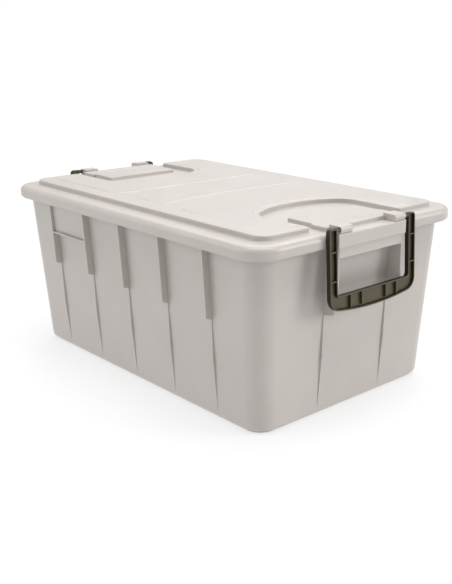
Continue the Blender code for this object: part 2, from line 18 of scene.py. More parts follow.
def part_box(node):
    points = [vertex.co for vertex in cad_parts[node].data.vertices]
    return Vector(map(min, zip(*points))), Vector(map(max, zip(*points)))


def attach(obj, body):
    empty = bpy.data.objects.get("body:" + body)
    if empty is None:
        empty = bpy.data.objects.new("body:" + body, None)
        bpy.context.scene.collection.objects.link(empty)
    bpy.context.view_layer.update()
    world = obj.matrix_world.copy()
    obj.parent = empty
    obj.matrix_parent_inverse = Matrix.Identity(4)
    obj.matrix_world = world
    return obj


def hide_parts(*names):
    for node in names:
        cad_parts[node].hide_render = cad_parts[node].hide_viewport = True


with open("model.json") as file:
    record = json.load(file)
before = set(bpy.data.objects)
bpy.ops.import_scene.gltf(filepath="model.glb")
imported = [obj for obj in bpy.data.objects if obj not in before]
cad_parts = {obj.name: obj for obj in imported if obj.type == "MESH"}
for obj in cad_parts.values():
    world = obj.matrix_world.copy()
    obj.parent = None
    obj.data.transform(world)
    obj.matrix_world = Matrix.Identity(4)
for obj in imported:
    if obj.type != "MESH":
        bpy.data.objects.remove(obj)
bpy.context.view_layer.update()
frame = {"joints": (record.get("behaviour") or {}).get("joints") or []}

# %% [markdown]
# ## Where things are
#
# The four CAD nodes say where the tub, lid and handles stand, and the hinge of each handle says where its
# pegs are. Every other place below is a named distance from one of these.

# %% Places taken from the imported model
crate_low, crate_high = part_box("crate_body")
_, lid_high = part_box("lid")
hinge = next(joint for joint in frame["joints"] if joint["name"] == "handle_right_swing")
PIVOT_X, _, PIVOT_Z = hinge["pos_m"]

PIVOT_OUTSIDE_RIM = 0.004       # half a handle's thickness and its gap
RIM_HALF_X = PIVOT_X - PIVOT_OUTSIDE_RIM
RIM_HALF_Y = lid_high.y
CORNER_RISE = 0.0001            # the CAD tub's inner corners stand about this much above its flat rim
TUB_TOP = crate_high.z - CORNER_RISE
SEAT_GAP = 0.0003
LID_WALL = 0.0023
RIM_TOP = TUB_TOP + SEAT_GAP + LID_WALL
print(f"rim {2000 * RIM_HALF_X:.0f} x {2000 * RIM_HALF_Y:.0f} mm, rim top at {1000 * RIM_TOP:.1f} mm")

# %% [markdown]
# ## Outlines
#
# A moulded part is mostly outlines with round corners, drawn once and stacked up. An outline here is a list
# of (x, y) points, and `inset` draws the same outline a little smaller, the way a wall leans in or an edge
# rolls over. Because every inset has the same number of points, two of them can be joined by quads.

# %% Arcs and outlines
CORNER_STEPS = 14
LEAST_ROUND = 0.0002            # an inset outline keeps at least this radius in its corners


def arc(centre, radii, start, end, steps):
    """Points along an elliptical arc; angles in degrees."""
    points = []
    for i in range(steps + 1):
        angle = math.radians(start + (end - start) * i / steps)
        points.append((centre[0] + radii[0] * math.cos(angle), centre[1] + radii[1] * math.sin(angle)))
    return points


def rounded_rectangle(half_x, half_y, corner, steps=CORNER_STEPS):
    """Counter-clockwise rectangle with round corners."""
    points = []
    for sign_x, sign_y, start in ((1, -1, -90), (1, 1, 0), (-1, 1, 90), (-1, -1, 180)):
        centre = (sign_x * (half_x - corner), sign_y * (half_y - corner))
        points += arc(centre, (corner, corner), start, start + 90, steps)
    return points


def soften(points, radius, inset=0.0, steps=5):
    """Round every corner of a closed counter-clockwise outline that was drawn already inset."""
    rounded = []
    count = len(points)
    for i in range(count):
        here = Vector(points[i])
        before = (Vector(points[i - 1]) - here).normalized()
        after = (Vector(points[(i + 1) % count]) - here).normalized()
        convex = (-before).cross(after) > 0
        size = max(radius - inset if convex else radius + inset, LEAST_ROUND)
        half_angle = before.angle(after) / 2
        centre = here + (before + after).normalized() * size / math.sin(half_angle)
        first = here + before * size / math.tan(half_angle) - centre
        last = here + after * size / math.tan(half_angle) - centre
        turn = first.angle_signed(last)
        for k in range(steps + 1):
            rounded.append(tuple(centre + Matrix.Rotation(-turn * k / steps, 2) @ first))
    return rounded


def turned(points):
    """The same outline turned half a turn, for the other end of the crate."""
    return [(-x, -y) for x, y in points]


def mirrored(points):
    """The same stretch of outline on the other side of the X axis, run backwards so that the two join up."""
    return [(x, -y) for x, y in reversed(points)]


print("a round corner has", CORNER_STEPS + 1, "points")

# %% [markdown]
# ## Joining outlines into skins
#
# `ring` puts an outline into a mesh at a height, `skin` joins two rings with quads, and `flat` fills the
# level ground between rings, holes included. A closed moulding is an outer skin and an inner skin that meet
# at their lower edges. `roll` gives the (inset, height) steps of a rounded edge.

# %% Rings, skins and flats
def ring(bm, outline, heights):
    """Vertices of an outline, at one height or at one height for each point."""
    if not isinstance(heights, (list, tuple)):
        heights = [heights] * len(outline)
    return [bm.verts.new((x, y, z)) for (x, y), z in zip(outline, heights)]


def skin(bm, rings):
    """Quads between each ring and the next."""
    for lower, upper in zip(rings, rings[1:]):
        for i in range(len(lower)):
            bm.faces.new((lower[i - 1], lower[i], upper[i], upper[i - 1]))


def flat(bm, *rings):
    """Fill the level ground between closed rings: the first is the outside, the rest are holes in it."""
    edges = []
    for loop in rings:
        for i in range(len(loop)):
            edge = bm.edges.get((loop[i - 1], loop[i]))
            edges.append(edge or bm.edges.new((loop[i - 1], loop[i])))
    bmesh.ops.triangle_fill(bm, use_beauty=True, use_dissolve=False, edges=edges)


def roll(inset, height, radius, start, end, steps=5):
    """(inset, height) steps round a centre; 180 is the outside of the part, 90 is up."""
    return arc((inset, height), (radius, radius), start, end, steps)


print("a rolled edge has", len(roll(0.0, 0.0, 0.001, 180, 90)), "rings")

# %% [markdown]
# ## From mesh to piece
#
# A piece needs smooth shading without the smears that long flat triangles cause. A Weighted Normal modifier
# lets the large flat faces decide their normals, so the shading turns only on the small rounded faces,
# which is how a moulded edge looks. Each piece then rides on its body and stands for its CAD node.

# %% Finish a piece
SHARP_ANGLE = math.radians(50)  # edges that turn more than this stay sharp in the shading
BEVEL_ANGLE = SHARP_ANGLE * 0.7
BEVEL_SEGMENTS = 3


def closed_forms(bm):
    """The faces of each closed form in a mesh."""
    left = set(bm.faces)
    while left:
        form = [left.pop()]
        for face in form:
            near = {other for edge in face.edges for other in edge.link_faces} & left
            left -= near
            form.extend(near)
        yield form


def face_outwards(bm):
    """Turn every closed form's faces outwards, which makes its signed volume positive."""
    bmesh.ops.recalc_face_normals(bm, faces=bm.faces)
    for form in list(closed_forms(bm)):
        if sum(face.verts[0].co.dot(face.normal) * face.calc_area() for face in form) < 0:
            bmesh.ops.reverse_faces(bm, faces=form)


def piece(name, bm, material, body, node, soften_edges=0.0):
    """Turn a bmesh into a shaded piece that rides on a body and replaces a CAD node."""
    face_outwards(bm)
    mesh = bpy.data.meshes.new(name)
    bm.to_mesh(mesh)
    bm.free()
    mesh.materials.append(material)
    mesh.shade_smooth()
    mesh.set_sharp_from_angle(angle=SHARP_ANGLE)
    item = bpy.data.objects.new(name, mesh)
    bpy.context.scene.collection.objects.link(item)
    if soften_edges:
        bevel = item.modifiers.new("soft_edges", "BEVEL")
        bevel.width = soften_edges
        bevel.segments = BEVEL_SEGMENTS
        bevel.limit_method = "ANGLE"
        bevel.angle_limit = BEVEL_ANGLE
        bevel.use_clamp_overlap = True
    normals = item.modifiers.new("flat_faces_lead", "WEIGHTED_NORMAL")
    normals.keep_sharp = not soften_edges
    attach(item, body)
    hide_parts(node)
    return item


def extrude(bm, outline, low, high, plane):
    """Add a closed slab: plane "YZ" runs along X from low to high, "XZ" along Y."""
    def place(point, depth):
        across, along = point
        return (depth, across, along) if plane == "YZ" else (across, depth, along)

    near = [bm.verts.new(place(point, low)) for point in outline]
    far = [bm.verts.new(place(point, high)) for point in outline]
    skin(bm, [near, far])
    bm.faces.new(near)
    bm.faces.new(far)


print(f"edges that turn more than {math.degrees(BEVEL_ANGLE):.0f} degrees can be bevelled")

# %% [markdown]
# ## Node helpers
#
# Materials are node trees. One small function adds a node with its settings and links, so that a material
# reads as a list of what it is made of. Colours are written as sRGB hex, as a colour picker shows them, and
# one function turns them to the linear values that shaders work in.

# %% Colours and nodes
def linear(hex_colour):
    """sRGB hex to linear RGBA."""
    values = [int(hex_colour[i:i + 2], 16) / 255 for i in (1, 3, 5)]
    return [v / 12.92 if v <= 0.04045 else ((v + 0.055) / 1.055) ** 2.4 for v in values] + [1.0]


def add(tree, kind, settings=None, inputs=None, links=None):
    """Add a node; settings are its properties, inputs its values, links {input: output socket}."""
    node = tree.nodes.new(kind)
    for name, value in (settings or {}).items():
        setattr(node, name, value)
    for name, value in (inputs or {}).items():
        node.inputs[name].default_value = value
    for name, socket in (links or {}).items():
        tree.links.new(socket, node.inputs[name])
    return node


def new_material(name):
    """An empty node material and its tree."""
    material = bpy.data.materials.new(name)
    material.use_nodes = True
    material.node_tree.nodes.clear()
    return material, material.node_tree


print("middle grey #808080 is", round(linear("#808080")[0], 3), "in linear light")

# %% [markdown]
# ## Polypropylene
#
# Crates are moulded in polypropylene: waxy, slightly translucent, never mirror-bright. The mould is lightly
# blasted, which leaves a fine grain. Cooling leaves the large walls very slightly wavy. Handling polishes
# the walls in faint long scuffs and rubs the edges of the handles paler. The white one has a warm tint and
# painted shade in its corners; the handles' faces that look along X carry painted light.

# %% The white polypropylene of tub and lid
PLASTIC_IOR = 1.49
GRAIN = 0.0012                      # a blasted grain is about 0.1 mm; drawn coarser so that it shows
GRAIN_HEIGHT = 0.0002
WAVE = 0.070                        # cooling waves on a wall are a hand wide
WAVE_HEIGHT = 0.0015
SCUFF = 0.030                       # faint rub marks are some centimetres long
SCUFF_SHAPE = (1.0, 1.0, 5.0)       # and five times lower than they are long
SHADE_REACH = 0.004                  # painted shade darkens the colour within a few millimetres of a corner
LIGHT_PASSES = 0.004                # and light wanders as far inside the plastic


def white_polypropylene():
    """Warm white moulded polypropylene with a blasted grain."""
    material, tree = new_material("white_polypropylene")
    place = add(tree, "ShaderNodeTexCoord").outputs["Object"]
    tone = add(tree, "ShaderNodeTexNoise", inputs={"Scale": 1 / WAVE, "Detail": 3.0}, links={"Vector": place})
    colour = add(tree, "ShaderNodeMix", {"data_type": "RGBA"},
                 {"A": linear("#B9B3AD"), "B": linear("#C2BCB7")}, {"Factor": tone.outputs["Fac"]})
    # painted shade: ambient occlusion darkens the colour towards #A8A29A in corners and creases
    corner = add(tree, "ShaderNodeAmbientOcclusion", {"samples": 6}, {"Distance": SHADE_REACH})
    unshaded = add(tree, "ShaderNodeMapRange", inputs={"From Min": 0.20, "From Max": 0.80, "To Min": 0.97},
                links={"Value": corner.outputs["AO"]})
    shade = add(tree, "ShaderNodeMix", {"data_type": "RGBA"}, {"A": linear("#A8A29A")},
                {"Factor": unshaded.outputs["Result"], "B": colour.outputs["Result"]})
    stretch = add(tree, "ShaderNodeMapping", inputs={"Scale": SCUFF_SHAPE}, links={"Vector": place})
    rub = add(tree, "ShaderNodeTexNoise", inputs={"Scale": 1 / SCUFF, "Detail": 6.0, "Roughness": 0.7},
              links={"Vector": stretch.outputs["Vector"]})
    rough = add(tree, "ShaderNodeMapRange",
                inputs={"From Min": 0.3, "From Max": 0.7, "To Min": 0.30, "To Max": 0.40},
                links={"Value": rub.outputs["Fac"]})
    grain = add(tree, "ShaderNodeTexNoise", inputs={"Scale": 1 / GRAIN, "Detail": 2.0},
                links={"Vector": place})
    fine = add(tree, "ShaderNodeBump", inputs={"Strength": 0.10, "Distance": GRAIN_HEIGHT},
               links={"Height": grain.outputs["Fac"]})
    wavy = add(tree, "ShaderNodeBump", inputs={"Strength": 0.25, "Distance": WAVE_HEIGHT},
               links={"Height": tone.outputs["Fac"], "Normal": fine.outputs["Normal"]})
    shader = add(tree, "ShaderNodeBsdfPrincipled",
                 inputs={"IOR": PLASTIC_IOR, "Subsurface Weight": 0.10, "Subsurface Scale": LIGHT_PASSES},
                 links={"Base Color": shade.outputs["Result"], "Roughness": rough.outputs["Result"],
                        "Normal": wavy.outputs["Normal"]})
    add(tree, "ShaderNodeOutputMaterial", links={"Surface": shader.outputs["BSDF"]})
    return material


WHITE = white_polypropylene()
print("material:", WHITE.name)

# %% The olive-black polypropylene of the handles
SPECKLE = 0.012                     # blotches of rubbed and unrubbed plastic, about a fingertip wide
HANDLE_GRAIN = 0.0007               # a blasted grain here too, drawn coarser so that it shows


def olive_black_polypropylene():
    """Olive-black moulded polypropylene with rubbed blotches and paler rubbed edges, and painted light: its
    faces that look along X are painted paler.
    """
    material, tree = new_material("olive_black_polypropylene")
    coordinates = add(tree, "ShaderNodeTexCoord")
    place = coordinates.outputs["Object"]
    tone = add(tree, "ShaderNodeTexNoise", inputs={"Scale": 1 / SPECKLE, "Detail": 4.0},
               links={"Vector": place})
    # painted light: faces that look along X are painted paler and the sides stay darker, mixed with the
    # random rubbed blotches
    facing = add(tree, "ShaderNodeSeparateXYZ", links={"Vector": coordinates.outputs["Normal"]})
    outwards = add(tree, "ShaderNodeMath", {"operation": "ABSOLUTE"}, links={0: facing.outputs["X"]})
    rubbed_and_painted_light = add(tree, "ShaderNodeMath", {"operation": "MULTIPLY_ADD"}, {1: 0.3},
                 {0: tone.outputs["Fac"], 2: outwards.outputs["Value"]})
    wear_and_painted_light = add(tree, "ShaderNodeMapRange", inputs={"From Min": 0.45, "From Max": 1.10},
                  links={"Value": rubbed_and_painted_light.outputs["Value"]})
    colour = add(tree, "ShaderNodeMix", {"data_type": "RGBA"},
                 {"A": linear("#1B1810"), "B": linear("#564F3C")}, {"Factor": wear_and_painted_light.outputs["Result"]})
    edge = add(tree, "ShaderNodeNewGeometry")
    worn = add(tree, "ShaderNodeMapRange", inputs={"From Min": 0.52, "From Max": 0.62, "To Max": 0.5},
               links={"Value": edge.outputs["Pointiness"]})
    shade = add(tree, "ShaderNodeMix", {"data_type": "RGBA"}, {"B": linear("#5C5845")},
                {"Factor": worn.outputs["Result"], "A": colour.outputs["Result"]})
    rough = add(tree, "ShaderNodeMapRange",
                inputs={"From Min": 0.3, "From Max": 0.7, "To Min": 0.38, "To Max": 0.50},
                links={"Value": tone.outputs["Fac"]})
    grain = add(tree, "ShaderNodeTexNoise", inputs={"Scale": 1 / HANDLE_GRAIN, "Detail": 2.0},
                links={"Vector": place})
    bump = add(tree, "ShaderNodeBump", inputs={"Strength": 0.15, "Distance": GRAIN_HEIGHT},
               links={"Height": grain.outputs["Fac"]})
    shader = add(tree, "ShaderNodeBsdfPrincipled", inputs={"IOR": PLASTIC_IOR, "Specular IOR Level": 0.32},
                 links={"Base Color": shade.outputs["Result"], "Roughness": rough.outputs["Result"],
                        "Normal": bump.outputs["Normal"]})
    add(tree, "ShaderNodeOutputMaterial", links={"Surface": shader.outputs["BSDF"]})
    return material


DARK = olive_black_polypropylene()
print("material:", DARK.name)

# %% [markdown]
# ## The tub
#
# The tub's wall leans in towards the foot, so that empty crates nest. At the top it turns outwards into a
# flange and down into a lip that stiffens the rim. One skin runs up the outside from the foot, over the
# flange and lip, and down the inside to the floor.

# %% Sizes of the tub
TUB_WALL = 0.0024
LIP_GAP = 0.0005
LIP_INSET = LID_WALL + LIP_GAP
LIP_BOTTOM = TUB_TOP - 0.0164
LIP_ROLL = 0.0060
RIM_CORNER = 0.042
WALL_INSET = 0.0147
WALL_DRAFT = 0.055
WALL_CORNER = 0.031
BASE_ROUND = 0.007
FOOT_INSET = 0.0359
FOOT_HEIGHT = 0.003
FOOT_CORNER = 0.024
FOOT_RING = 0.014               # the crate stands on a ring this wide
FOOT_HOLLOW = 0.0012            # inside the ring the underside is this much higher
FOOT_SLOPE = 0.001
FOOT_EDGE = 0.0008
FOOT_LEAN = 0.0002
FLOOR_ROUND = 0.006
FLANGE_ROUND = 0.0022
LIP_FILLET = 0.001


def wall_inset(height):
    """How far the outer face of the leaning wall lies inside the rim."""
    return WALL_INSET + (TUB_TOP - height) * WALL_DRAFT


print(f"the wall leans in {math.degrees(math.atan(WALL_DRAFT)):.1f} degrees")

# %% The tub's shell
def tub_rings():
    """(inset, corner, height) of each ring, from the middle of the underside round to the inner floor."""
    rings = [(FOOT_INSET + FOOT_RING + FOOT_SLOPE, FOOT_CORNER, FOOT_HOLLOW),
             (FOOT_INSET + FOOT_RING, FOOT_CORNER, 0.0)]
    rings += [(i, FOOT_CORNER, z) for i, z in
              roll(FOOT_INSET + FOOT_EDGE, FOOT_EDGE, FOOT_EDGE, 270, 180, 3)]
    rings.append((FOOT_INSET - FOOT_LEAN, FOOT_CORNER, FOOT_HEIGHT))
    round_top = FOOT_HEIGHT + BASE_ROUND
    centre = wall_inset(round_top) + BASE_ROUND
    rings += [(i, WALL_CORNER, z) for i, z in roll(centre, round_top, BASE_ROUND, 270, 180, 8)]
    under = TUB_TOP - TUB_WALL
    fillet = wall_inset(under - FLANGE_ROUND) - FLANGE_ROUND
    rings += [(i, WALL_CORNER, z) for i, z in roll(fillet, under - FLANGE_ROUND, FLANGE_ROUND, 0, 90, 5)]
    inner = LIP_INSET + TUB_WALL
    rings += [(i, RIM_CORNER - i, z) for i, z in
              roll(inner + LIP_FILLET, under - LIP_FILLET, LIP_FILLET, 90, 180, 3)]
    middle = LIP_INSET + TUB_WALL / 2
    rings += [(i, RIM_CORNER - i, z) for i, z in
              roll(middle, LIP_BOTTOM + TUB_WALL / 2, TUB_WALL / 2, 360, 180, 6)]
    rings += [(i, RIM_CORNER - i, z) for i, z in
              roll(LIP_INSET + LIP_ROLL, TUB_TOP - LIP_ROLL, LIP_ROLL, 180, 90, 6)]
    inside = wall_inset(TUB_TOP) + TUB_WALL
    rings += [(i, WALL_CORNER - TUB_WALL, z) for i, z in
              roll(inside - FLANGE_ROUND, TUB_TOP - FLANGE_ROUND, FLANGE_ROUND, 90, 0, 5)]
    floor = FOOT_HEIGHT + TUB_WALL
    floor_centre = wall_inset(floor + FLOOR_ROUND) + TUB_WALL + FLOOR_ROUND
    rings += [(i, WALL_CORNER - TUB_WALL, z) for i, z in
              roll(floor_centre, floor + FLOOR_ROUND, FLOOR_ROUND, 180, 270, 6)]
    return rings


def build_tub():
    """The shell of the tub as one closed mesh."""
    bm = bmesh.new()
    loops = []
    for inset, corner, height in tub_rings():
        outline = rounded_rectangle(RIM_HALF_X - inset, RIM_HALF_Y - inset, corner)
        loops.append(ring(bm, outline, height))
    skin(bm, loops)
    bm.faces.new(loops[0])
    bm.faces.new(loops[-1])
    return piece("tub", bm, WHITE, "body", "crate_body")


tub = build_tub()
print("tub:", len(tub.data.polygons), "faces")

# %% [markdown]
# ## Ribs, hand-pulls and the label plate
#
# Thin ribs stiffen the long walls. They stand deep under the rim, end in a small step about half way down,
# and go on as a shallow tail. The hand-pull is a bent plate between two deep webs at each short end. They
# sink into the wall by half its thickness, as one moulding does, and a small bevel rounds their edges.

# %% Ribs on the long walls
RIBS_EACH_SIDE = 5
RIB_PITCH = 0.0945
RIB_THICKNESS = 0.0026
RIB_DEPTH = 0.0103
RIB_LENGTH = 0.110
RIB_FOOT_SLOPE = 0.0035
TAIL_START = 0.0015             # the tail is shallow where it leaves the rib,
TAIL_DEPTH = 0.0032             # deepest at TAIL_MIDDLE above the table,
TAIL_MIDDLE = 0.088
TAIL_TIP = 0.0003               # and nearly flush with the wall where it ends
TAIL_END = 0.012
ROOT = -TUB_WALL / 2
FLANGE_MIDDLE = TUB_TOP - TUB_WALL / 2
SMALL_ROUND = 0.0006            # the radius that a mould leaves on a thin rib


def on_wall(half, height, out):
    """A point that stands out from the leaning wall by so much."""
    return (half - wall_inset(height) + out, height)


def rib_profile(half):
    """Side view of a rib, from its root up the front."""
    bottom = TUB_TOP - RIB_LENGTH
    tail_top = bottom - RIB_FOOT_SLOPE
    return [on_wall(half, FLANGE_MIDDLE, ROOT), on_wall(half, TAIL_END, ROOT),
            on_wall(half, TAIL_END, TAIL_TIP), on_wall(half, TAIL_MIDDLE, TAIL_DEPTH),
            on_wall(half, tail_top, TAIL_START),
            on_wall(half, bottom, RIB_DEPTH), on_wall(half, FLANGE_MIDDLE, RIB_DEPTH)]


def build_ribs():
    """The ten ribs of the two long walls."""
    bm = bmesh.new()
    for side in (-1, 1):
        outline = [(side * across, along) for across, along in rib_profile(RIM_HALF_Y)]
        for i in range(RIBS_EACH_SIDE):
            x = (i - (RIBS_EACH_SIDE - 1) / 2) * RIB_PITCH
            extrude(bm, outline, x - RIB_THICKNESS / 2, x + RIB_THICKNESS / 2, "YZ")
    return piece("wall_ribs", bm, WHITE, "body", "crate_body", SMALL_ROUND)


build_ribs()
print("ribs:", 2 * RIBS_EACH_SIDE)

# %% Hand-pulls
PULL_HALF_WIDTH = 0.0643
PULL_REACH = 0.0045
PULL_DEPTH = 0.0304
PULL_FRONT = RIM_HALF_X + PULL_REACH
WEB_SETBACK = 0.0004
WEB_LENGTH = 0.0806
WEB_TAB_REACH = 0.0007
WEB_TAB_LENGTH = 0.108


def web_profile():
    """Side view of a web: deep down to its hook, then a shorter tab, then the shallow tail."""
    front = PULL_FRONT - WEB_SETBACK
    hook = TUB_TOP - WEB_LENGTH
    tab_bottom = TUB_TOP - WEB_TAB_LENGTH
    tail_top = tab_bottom - RIB_FOOT_SLOPE
    tab = RIM_HALF_X - WEB_TAB_REACH
    return [on_wall(RIM_HALF_X, FLANGE_MIDDLE, ROOT), on_wall(RIM_HALF_X, TAIL_END, ROOT),
            on_wall(RIM_HALF_X, TAIL_END, TAIL_TIP), on_wall(RIM_HALF_X, TAIL_MIDDLE, TAIL_DEPTH),
            on_wall(RIM_HALF_X, tail_top, TAIL_START),
            (tab - (hook - tab_bottom) * WALL_DRAFT, tab_bottom), (tab, hook), (front, hook),
            (front, FLANGE_MIDDLE)]


def pull_profile():
    """Side view of the bent plate between the webs."""
    back = RIM_HALF_X - LIP_INSET - TUB_WALL / 2
    return [(back, TUB_TOP), (back, TUB_TOP - TUB_WALL), (PULL_FRONT - TUB_WALL, TUB_TOP - TUB_WALL),
            (PULL_FRONT - TUB_WALL, TUB_TOP - PULL_DEPTH), (PULL_FRONT, TUB_TOP - PULL_DEPTH),
            (PULL_FRONT, TUB_TOP)]


def build_hand_pull(name, end):
    """Two webs and the plate between them at one short end."""
    bm = bmesh.new()
    web = [(end * across, along) for across, along in web_profile()]
    for side in (-1, 1):
        edges = sorted((side * PULL_HALF_WIDTH, side * (PULL_HALF_WIDTH - RIB_THICKNESS)))
        extrude(bm, web, *edges, "XZ")
    inside = PULL_HALF_WIDTH - RIB_THICKNESS / 2
    extrude(bm, [(end * across, along) for across, along in pull_profile()], -inside, inside, "XZ")
    return piece(name, bm, WHITE, "body", "crate_body", SMALL_ROUND)


build_hand_pull("hand_pull_right", 1)
build_hand_pull("hand_pull_left", -1)
print(f"hand-pulls: {2000 * PULL_HALF_WIDTH:.0f} mm wide")

# %% Label plate
LABEL_FIRST_RIB = -2
LABEL_FRONT = 0.0056
LABEL_THICKNESS = 0.0020
LABEL_BOTTOM = TUB_TOP - 0.0614
LABEL_SUNK = 0.001              # plate, ledge, bar and lip overlap by this much, as one moulding
LEDGE_HEIGHT = 0.0025
LEDGE_SETBACK = 0.0004          # the ledge ends a little behind the fronts of the ribs
BAR_WIDTH = 0.0070
BAR_FRONT = 0.0078


def label_strip(out_back, out_front, low, high):
    """Side view of a strip on the near long wall, between two distances out from it."""
    corners = [on_wall(RIM_HALF_Y, low, out_back), on_wall(RIM_HALF_Y, high, out_back),
               on_wall(RIM_HALF_Y, high, out_front), on_wall(RIM_HALF_Y, low, out_front)]
    return [(-across, along) for across, along in corners]


def build_label_plate():
    """A flat plate between two ribs, with a ledge under it and a thicker bar at its edge."""
    bm = bmesh.new()
    first = LABEL_FIRST_RIB * RIB_PITCH
    last = first + RIB_PITCH
    back = LABEL_FRONT - LABEL_THICKNESS
    low = LABEL_BOTTOM + LABEL_SUNK
    ledge_front = RIB_DEPTH - LEDGE_SETBACK
    ledge_top = LABEL_BOTTOM + LEDGE_HEIGHT
    plate = label_strip(back, LABEL_FRONT, low, FLANGE_MIDDLE)
    ledge = label_strip(back + LABEL_SUNK, ledge_front, LABEL_BOTTOM, ledge_top)
    bar = label_strip(back + LABEL_SUNK, BAR_FRONT, low, LIP_BOTTOM + LABEL_SUNK)
    extrude(bm, plate, first, last, "YZ")
    extrude(bm, ledge, first, last, "YZ")
    extrude(bm, bar, last - BAR_WIDTH, last, "YZ")
    return piece("label_plate", bm, WHITE, "body", "crate_body", SMALL_ROUND)


build_label_plate()
print(f"label plate: {1000 * RIB_PITCH:.0f} mm wide")

# %% [markdown]
# ## The lid
#
# The lid is one sheet of plastic pressed into steps: a skirt, a rolled rim, a raised deck with a D-shaped
# recess at each end, and a raised plate in each recess. It is built as two skins, the outside and the
# underside one wall thickness below it. Each step is a foot fillet, a nearly upright wall and a rounded
# crown, and the level ground between steps is filled last.

# %% Sizes of the lid
SKIRT_BOTTOM = RIM_TOP - 0.0170
COVER_BOTTOM = RIM_TOP - 0.0190
RIM_ROLL = 0.0080
COVER_ROLL = 0.0022
COVER_FRONT = PULL_FRONT + LIP_GAP + LID_WALL
COVER_HALF = PULL_HALF_WIDTH + LIP_GAP + LID_WALL
COVER_CORNER = 0.0016
DECK_TOP = RIM_TOP + 0.0075
DECK_END_INSET = 0.0235
DECK_SIDE_INSET = 0.0298
DECK_CORNER = 0.020
DECK_FOOT = 0.0016
DECK_CROWN = 0.0018
RECESS_HALF = 0.0885
MOUTH_HALF = 0.0872
MOUTH_ROUND = 0.005
RECESS_STRAIGHT = 0.084
RECESS_ARCH = 0.045
PLATE_TOP = RIM_TOP + 0.0060
PLATE_FRONT = RIM_HALF_X - 0.0115
PLATE_LENGTH = 0.0775
SHOULDER_LENGTH = 0.0305
PLATE_HALF = 0.0655
SHOULDER_HALF = 0.0700
PLATE_CORNER = 0.0022
PLATE_FOOT = 0.0009
PLATE_CROWN = 0.0014
STEP_LEAN = 0.0004              # how far a step's wall leans, so that the lid leaves its mould
for level_name, level_top in (("deck", DECK_TOP), ("end plates", PLATE_TOP)):
    print(f"the {level_name} at {1000 * (level_top - RIM_TOP):.1f} mm above the rim")

# %% Outlines of the lid
COVER_LEAST_CORNER = 0.0003
COVER_START = 0.0004            # the cover's ring leaves the rim's ring this far outside it


def rim_ring(bm, inset, height, cover_inset, cover_height):
    """One ring of the rim, with the box at each end that covers the hand-pull."""
    half_x = RIM_HALF_X - inset
    half_y = RIM_HALF_Y - inset
    corner = RIM_CORNER - inset
    front = COVER_FRONT - cover_inset
    side = COVER_HALF - cover_inset
    small = max(COVER_CORNER - cover_inset, COVER_LEAST_CORNER)
    first = arc((half_x - corner, corner - half_y), (corner, corner), -90, 0, CORNER_STEPS)
    cover = [(half_x + COVER_START, -side)] + arc((front - small, small - side), (small, small), -90, 0, 4)
    cover += mirrored(cover)
    last = arc((half_x - corner, half_y - corner), (corner, corner), 0, 90, CORNER_STEPS)
    half = first + [(half_x, -side)] + cover + [(half_x, side)] + last
    levels = [height] * (len(first) + 1) + [cover_height] * len(cover) + [height] * (len(last) + 1)
    return ring(bm, half + turned(half), levels + levels)


print(f"the cover of a hand-pull is {2000 * COVER_HALF:.0f} mm wide")


# %% Outlines of the deck and the end plates
def deck_outline(inset):
    """The raised deck: a round-cornered rectangle with a D-shaped recess at each short end."""
    half_x = RIM_HALF_X - DECK_END_INSET
    half_y = RIM_HALF_Y - DECK_SIDE_INSET
    corner = DECK_CORNER - inset
    centre = (half_x - DECK_CORNER, half_y - DECK_CORNER)
    mouth = max(MOUTH_ROUND - inset, LEAST_ROUND)
    mouth_centre = (half_x - MOUTH_ROUND, MOUTH_HALF + MOUTH_ROUND)
    far_corner = arc(centre, (corner, corner), 90, 0, 8) + arc(mouth_centre, (mouth, mouth), 0, -90, 6)
    recess = arc((half_x - RECESS_STRAIGHT, 0.0), (RECESS_ARCH + inset, RECESS_HALF + inset), 90, 270, 48)
    half = far_corner + recess + mirrored(far_corner)
    return half + turned(half)


def plate_outline(inset):
    """The plate in a recess, with shoulders that carry the knuckles."""
    front = PLATE_FRONT - inset
    shoulder = PLATE_FRONT - SHOULDER_LENGTH + inset
    inner = PLATE_FRONT - PLATE_LENGTH + inset
    narrow = PLATE_HALF - inset
    wide = SHOULDER_HALF - inset
    corners = [(inner, -narrow), (shoulder, -narrow), (shoulder, -wide), (front, -wide),
               (front, wide), (shoulder, wide), (shoulder, narrow), (inner, narrow)]
    return soften(corners, PLATE_CORNER, inset)


print("the deck's outline has", len(deck_outline(0.0)), "points, a plate's", len(plate_outline(0.0)))


# %% Side view of a step
def step_profile(bottom, top, foot, crown):
    """(inset, height) of one step: foot fillet, leaning wall, rounded crown."""
    rise = roll(-foot, bottom + foot, foot, 270, 360, 4)
    return rise + roll(STEP_LEAN + crown, top - crown, crown, 180, 90, 5)


def under_profile(bottom, top, foot):
    """The same step one wall thickness below, with a small chamfer for its crown."""
    rise = roll(-foot, bottom + foot, foot + LID_WALL, 270, 360, 4)
    lean = LID_WALL + STEP_LEAN
    return rise + [(lean, top - LID_WALL - STEP_LEAN), (lean + STEP_LEAN, top - LID_WALL)]


print("the deck's step has", len(step_profile(RIM_TOP, DECK_TOP, DECK_FOOT, DECK_CROWN)), "rings")

# %% The lid's two skins
LID_EDGE = LID_WALL * 0.45      # the skirt's lower edge is rounded by almost half the wall
COVER_LEAST_ROLL = 0.0005
RIM_STEPS = 12


